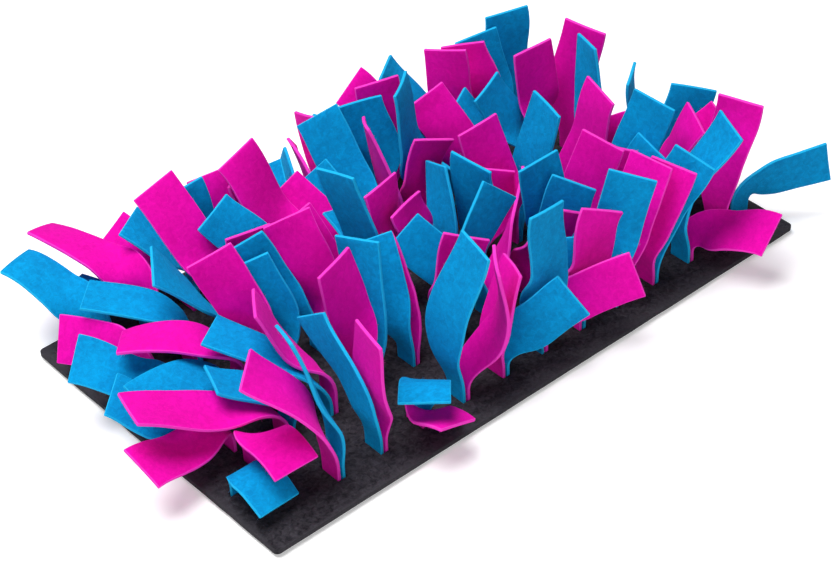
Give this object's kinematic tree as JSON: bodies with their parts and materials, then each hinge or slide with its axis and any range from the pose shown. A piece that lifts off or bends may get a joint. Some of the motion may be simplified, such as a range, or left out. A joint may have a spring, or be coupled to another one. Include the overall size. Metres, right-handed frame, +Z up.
{
  "type": "snuffle mat",
  "caption": "Felt feeding mat for pets: a flat dark rectangular base with rows of slots, threaded with a dense pile of loose magenta and blue felt strips.",
  "frame": {"origin": "centre of the underside, on the strip that crosses beneath the middle of the base", "axes": "+X along the rows of slots and the long side of the base, +Y to the back, +Z up out of the pile"},
  "size_m": [0.4655, 0.2914, 0.1112],
  "materials": {
    "charcoal_felt": "matt mottled felt",
    "magenta_felt": "matt felt",
    "blue_felt": "matt felt"
  },
  "bodies": {
    "root": {"base_sheet": "charcoal_felt", "front_strip_01": "magenta_felt", "front_strip_02": "blue_felt", "front_strip_03": "magenta_felt", "front_strip_04": "blue_felt", "front_strip_05": "magenta_felt", "front_strip_06": "blue_felt", "front_strip_07": "magenta_felt", "front_strip_08": "blue_felt", "front_strip_09": "magenta_felt", "front_strip_10": "blue_felt", "front_strip_11": "magenta_felt", "second_strip_01": "magenta_felt", "second_strip_02": "blue_felt", "second_strip_03": "magenta_felt", "second_strip_04": "blue_felt", "second_strip_05": "magenta_felt", "second_strip_06": "blue_felt", "second_strip_07": "magenta_felt", "second_strip_08": "blue_felt", "second_strip_09": "magenta_felt", "second_strip_10": "blue_felt", "second_strip_11": "magenta_felt", "middle_strip_01": "blue_felt", "middle_strip_02": "magenta_felt", "middle_strip_03": "blue_felt", "middle_strip_04": "magenta_felt", "middle_strip_05": "blue_felt", "middle_strip_06": "magenta_felt", "middle_strip_07": "blue_felt", "middle_strip_08": "magenta_felt", "middle_strip_09": "blue_felt", "middle_strip_10": "magenta_felt", "middle_strip_11": "blue_felt", "fourth_strip_01": "magenta_felt", "fourth_strip_02": "blue_felt", "fourth_strip_03": "magenta_felt", "fourth_strip_04": "blue_felt", "fourth_strip_05": "magenta_felt", "fourth_strip_06": "blue_felt", "fourth_strip_07": "magenta_felt", "fourth_strip_08": "blue_felt", "fourth_strip_09": "magenta_felt", "fourth_strip_10": "blue_felt", "fourth_strip_11": "magenta_felt", "back_strip_01": "blue_felt", "back_strip_02": "magenta_felt", "back_strip_03": "blue_felt", "back_strip_04": "magenta_felt", "back_strip_05": "blue_felt", "back_strip_06": "magenta_felt", "back_strip_07": "blue_felt", "back_strip_08": "magenta_felt", "back_strip_09": "blue_felt", "back_strip_10": "magenta_felt", "back_strip_11": "blue_felt", "left_edge_strip": "blue_felt", "right_edge_strip": "blue_felt"}
  },
  "joints": []
}
